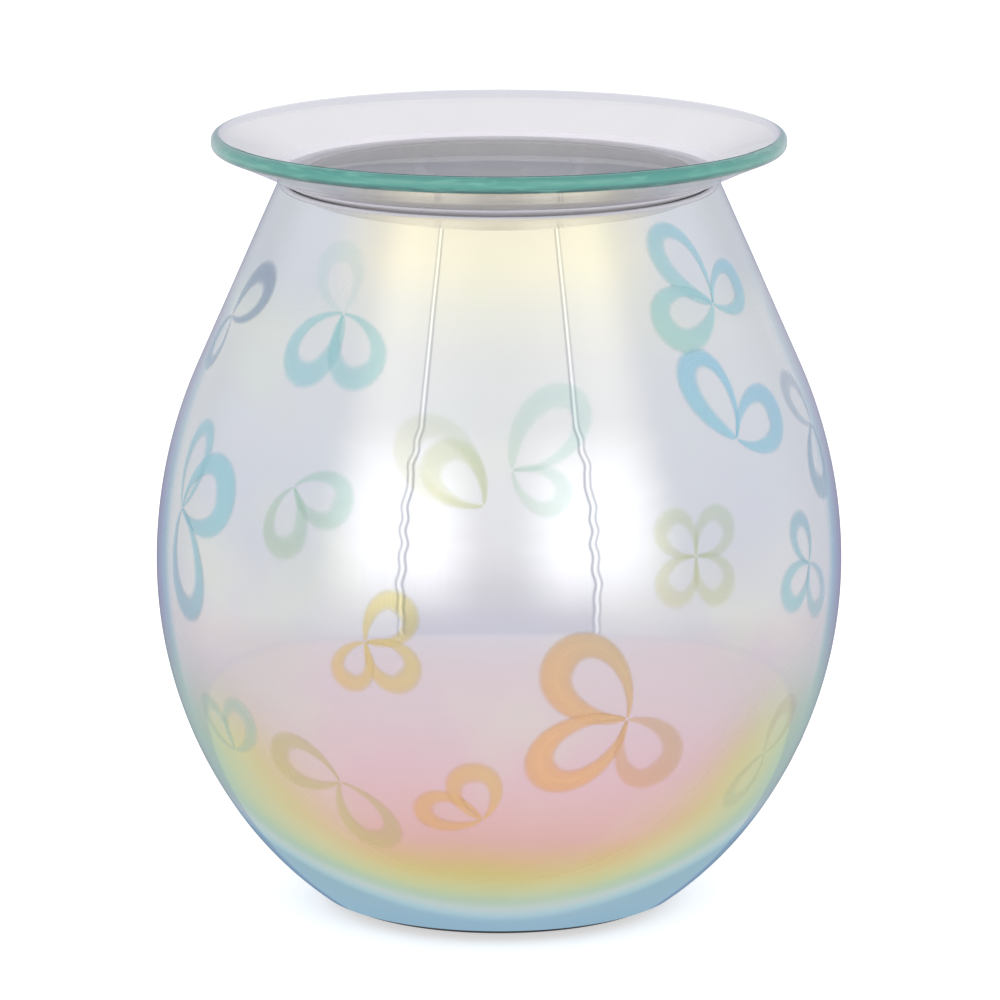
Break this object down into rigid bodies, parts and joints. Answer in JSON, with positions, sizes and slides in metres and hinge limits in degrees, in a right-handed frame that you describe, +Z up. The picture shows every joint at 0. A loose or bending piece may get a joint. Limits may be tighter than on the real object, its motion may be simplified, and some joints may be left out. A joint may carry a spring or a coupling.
{
  "type": "electric wax melt warmer",
  "caption": "Egg-shaped lustred glass shade on a low black base, with a halogen lamp inside and a lift-off glass dish for wax on its mouth.",
  "frame": {"origin": "middle of the rubber feet's lower faces, on the table, on the axis of the glass shade", "axes": "+Z up along the axis of the shade, +Y towards the supply cord's inlet at the rear, +X to the right seen from the front"},
  "size_m": [0.1276, 0.1276, 0.1457],
  "materials": {
    "shade_glass": "lustred, semi-mirror, glossy",
    "dish_glass": "clear float glass, polished",
    "pan_black": "satin black",
    "cover_steel": "satin",
    "bracket_steel": "zinc plated",
    "fastener_steel": "zinc plated",
    "black_plastic": "matt",
    "foot_rubber": "matt",
    "seal_rubber": "matt",
    "silicone": "matt, translucent white",
    "ceramic": "unglazed steatite",
    "contact_brass": "satin",
    "lamp_reflector": "dichroic",
    "lamp_glass": "polished",
    "lamp_pin": "nickel plated",
    "tungsten": "drawn wire",
    "block_plastic": "matt",
    "insert_brass": "machined",
    "live_sleeve": "matt brown",
    "neutral_sleeve": "matt blue",
    "earth_sleeve": "matt green and yellow"
  },
  "bodies": {
    "base": {"glass_shade_upper": "shade_glass", "glass_shade_lower": "shade_glass", "base_pan": "pan_black", "clamp_cover": "cover_steel", "clamp_gasket": "silicone", "seat_gasket": "seal_rubber", "bottom_cover": "black_plastic", "foot_right": "foot_rubber", "foot_left": "foot_rubber", "foot_rear": "foot_rubber", "foot_front": "foot_rubber", "clamp_screws": "fastener_steel", "standoffs": "fastener_steel", "cover_screws": "fastener_steel", "lamp_bracket": "bracket_steel", "bracket_screws": "fastener_steel", "bracket_nuts": "fastener_steel", "holder_base": "ceramic", "holder_body": "ceramic", "contact_live": "contact_brass", "contact_neutral": "contact_brass", "holder_screws": "fastener_steel", "holder_nuts": "fastener_steel", "terminal_block": "block_plastic", "terminal_inserts": "insert_brass", "terminal_screws": "fastener_steel", "block_screw": "fastener_steel", "live_lead": "live_sleeve", "neutral_lead": "neutral_sleeve", "earth_lead": "earth_sleeve", "earth_tag": "contact_brass", "earth_screw": "fastener_steel", "earth_nut": "fastener_steel", "deck_grommet": "silicone", "cord_gland": "seal_rubber"},
    "dish": {"glass_dish": "dish_glass"},
    "bulb": {"bulb_base": "ceramic", "bulb_pins": "lamp_pin", "bulb_reflector": "lamp_reflector", "bulb_lens": "lamp_glass", "bulb_capsule": "lamp_glass", "bulb_filament": "tungsten"}
  },
  "joints": [
    {"name": "dish_lift", "type": "slide", "parent": "base", "child": "dish", "axis": [0, 0, 1], "range_m": [0, 0.08]},
    {"name": "bulb_twist", "type": "hinge", "parent": "base", "child": "bulb", "pos_m": [0, 0, 0.0461], "axis": [0, 0, 1], "range_deg": [0, 20]}
  ]
}
